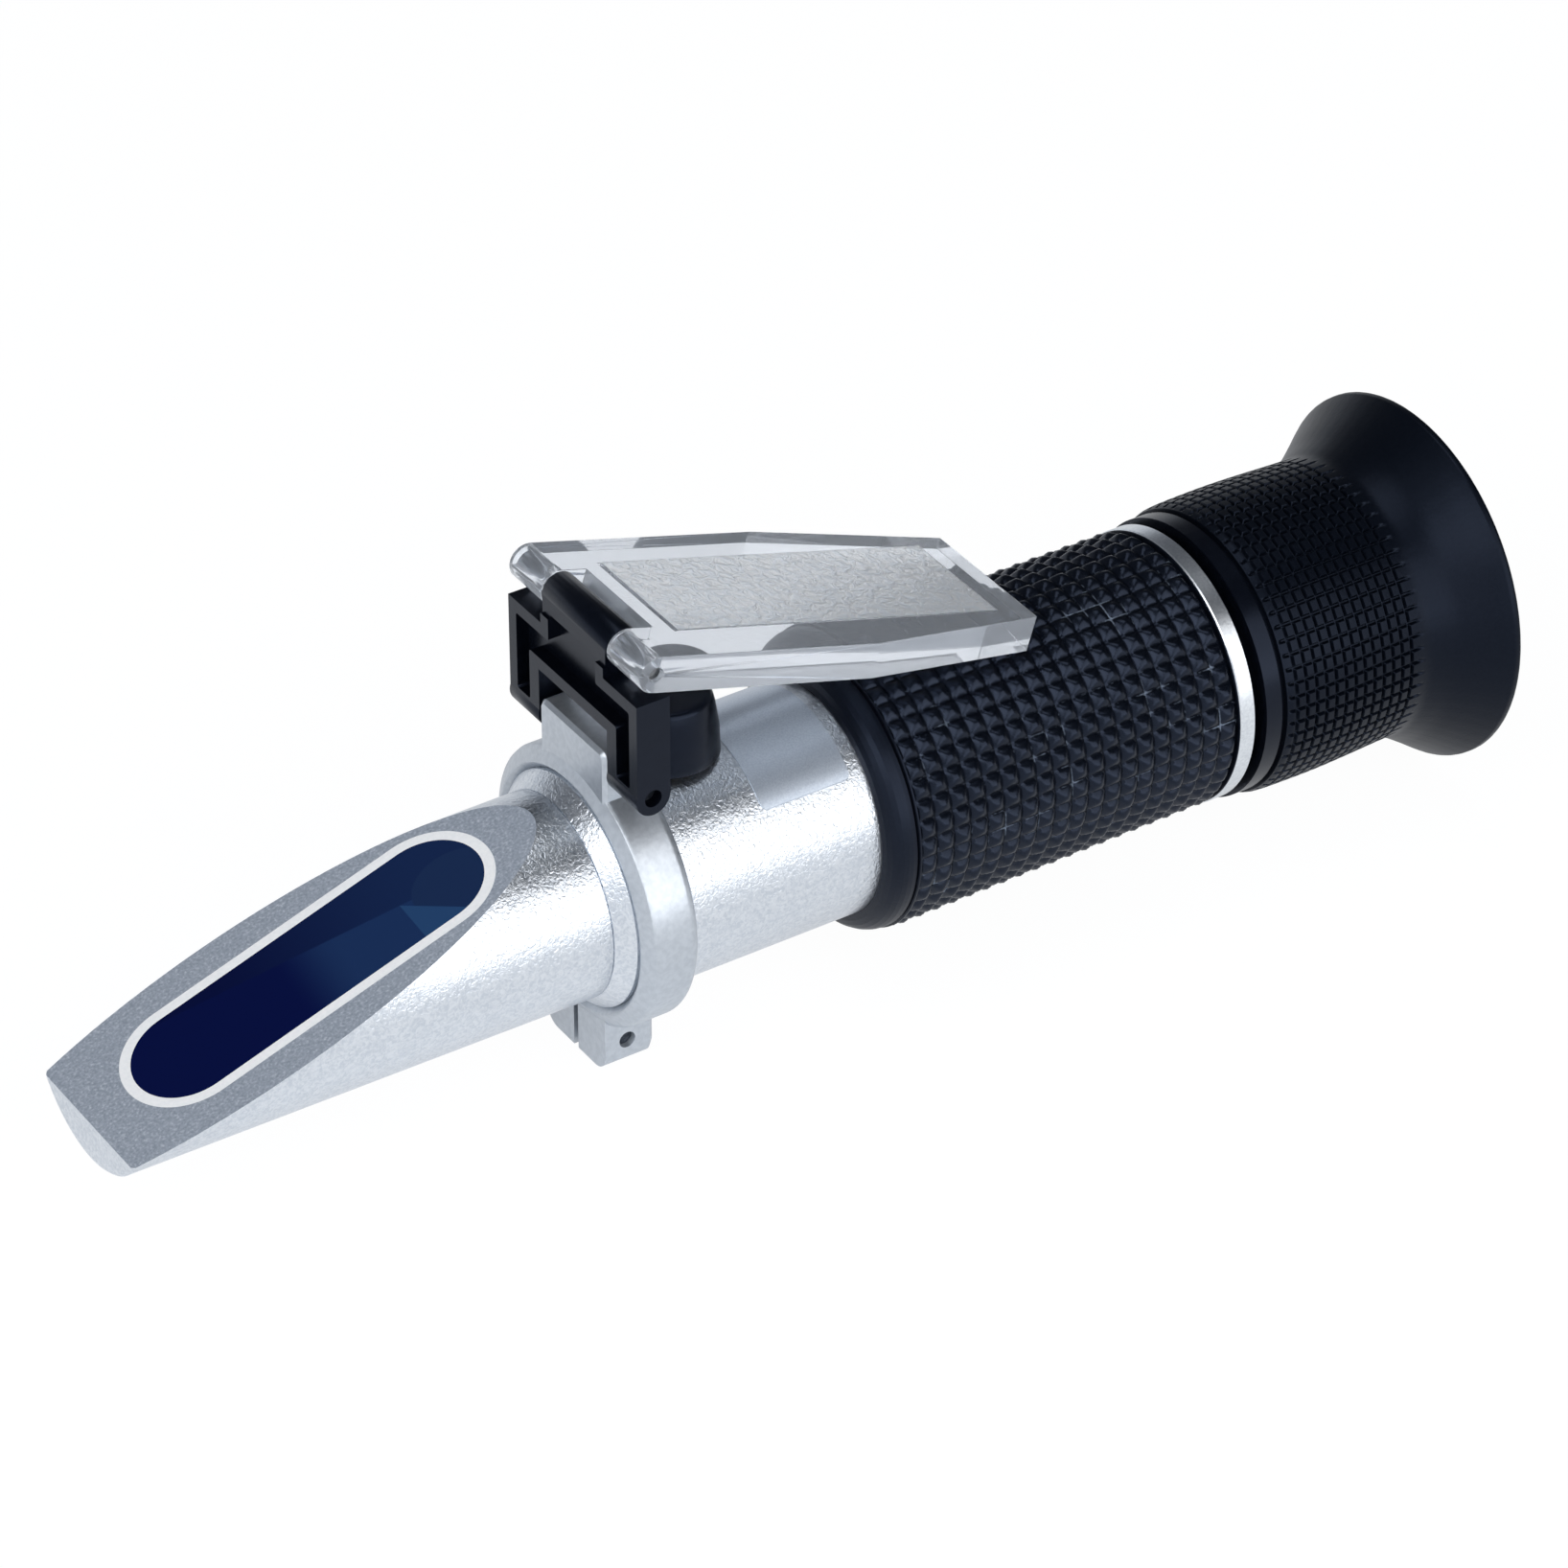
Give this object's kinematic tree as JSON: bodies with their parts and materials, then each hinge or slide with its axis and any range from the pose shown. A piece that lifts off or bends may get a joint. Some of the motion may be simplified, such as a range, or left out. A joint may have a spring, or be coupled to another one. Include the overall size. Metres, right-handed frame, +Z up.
{
  "type": "handheld refractometer",
  "caption": "Handheld refractometer: slanted prism head, clear daylight plate on a tilting bracket, knurled grip and focusing eyepiece with a flared cup.",
  "frame": {"origin": "centre of the footprint, on the surface that the instrument lies on; the optical axis is 20.03 mm above it", "axes": "+X along the optical axis towards the eye, +Z up towards the daylight plate"},
  "size_m": [0.1572, 0.04, 0.0531],
  "materials": {
    "blasted_metal": "bead blasted",
    "bright_metal": "satin turned",
    "black_metal": "black anodised",
    "steel": "ground",
    "brass": "turned",
    "foil": "fine metallic foil",
    "black_plastic": "smooth moulded",
    "black_rubber": "moulded rubber",
    "pale_seal": "cast sealing compound",
    "clear_plastic": "clear moulded, frosted pad",
    "blue_glass": "polished",
    "lens_glass": "polished"
  },
  "bodies": {
    "body": {"prism_head": "blasted_metal", "main_prism": "blue_glass", "prism_seal": "pale_seal", "head_seal": "black_rubber", "main_tube": "blasted_metal", "clamp_ring": "bright_metal", "clamp_screw": "steel", "bracket_pin": "steel", "screw_bush": "brass", "scale_label": "foil", "grip_collar": "black_rubber", "grip_sleeve": "black_rubber", "trim_ring": "bright_metal", "eyepiece_neck": "black_metal", "reticle": "lens_glass", "reticle_ring": "black_metal", "guide_pin": "steel", "light_baffle": "black_plastic"},
    "bracket": {"hinge_bracket": "black_plastic", "plate_hinge_pin": "steel"},
    "plate": {"daylight_plate": "clear_plastic"},
    "cap": {"calibration_cap": "black_rubber"},
    "adjuster": {"calibration_screw": "steel"},
    "objective": {"lens_carrier": "brass", "objective_crown": "lens_glass", "objective_flint": "lens_glass", "objective_ring": "black_metal"},
    "carriage": {"focus_carriage": "black_metal", "field_lens": "lens_glass", "lens_spacer": "black_metal", "eye_lens": "lens_glass", "eye_lens_ring": "black_metal"},
    "eyepiece": {"eyepiece_barrel": "black_plastic", "carriage_ring": "black_metal", "eyecup": "black_rubber"}
  },
  "joints": [
    {"name": "bracket_tilt", "type": "hinge", "parent": "body", "child": "bracket", "pos_m": [-0.02212, 0, 0.03688], "axis": [0, -1, 0], "range_deg": [0, 114.8]},
    {"name": "plate_hinge", "type": "hinge", "parent": "bracket", "child": "plate", "pos_m": [-0.02173, 0, 0.05113], "axis": [0, -1, 0], "range_deg": [0, 100.4]},
    {"name": "cap_pull", "type": "slide", "parent": "body", "child": "cap", "axis": [0, 0, 1], "range_m": [0, 0.0048]},
    {"name": "calibration_turn", "type": "hinge", "parent": "body", "child": "adjuster", "pos_m": [-0.01323, 0, 0.03488], "axis": [0, 0, 1], "range_deg": [-40, 40]},
    {"name": "objective_slide", "type": "slide", "parent": "body", "child": "objective", "axis": [1, 0, 0], "range_m": [-0.0004, 0.0004]},
    {"name": "focus_slide", "type": "slide", "parent": "body", "child": "carriage", "axis": [1, 0, 0], "range_m": [-0.00075, 0.0032]},
    {"name": "focus_turn", "type": "hinge", "parent": "carriage", "child": "eyepiece", "pos_m": [0.06, 0, 0.02003], "axis": [1, 0, 0], "range_deg": [-67.6, 288.1]}
  ],
  "couplings": [
    {"joint": "calibration_turn", "follows": "objective_slide", "rad_per_m": 1745},
    {"joint": "focus_turn", "follows": "focus_slide", "rad_per_m": 1570.8}
  ]
}
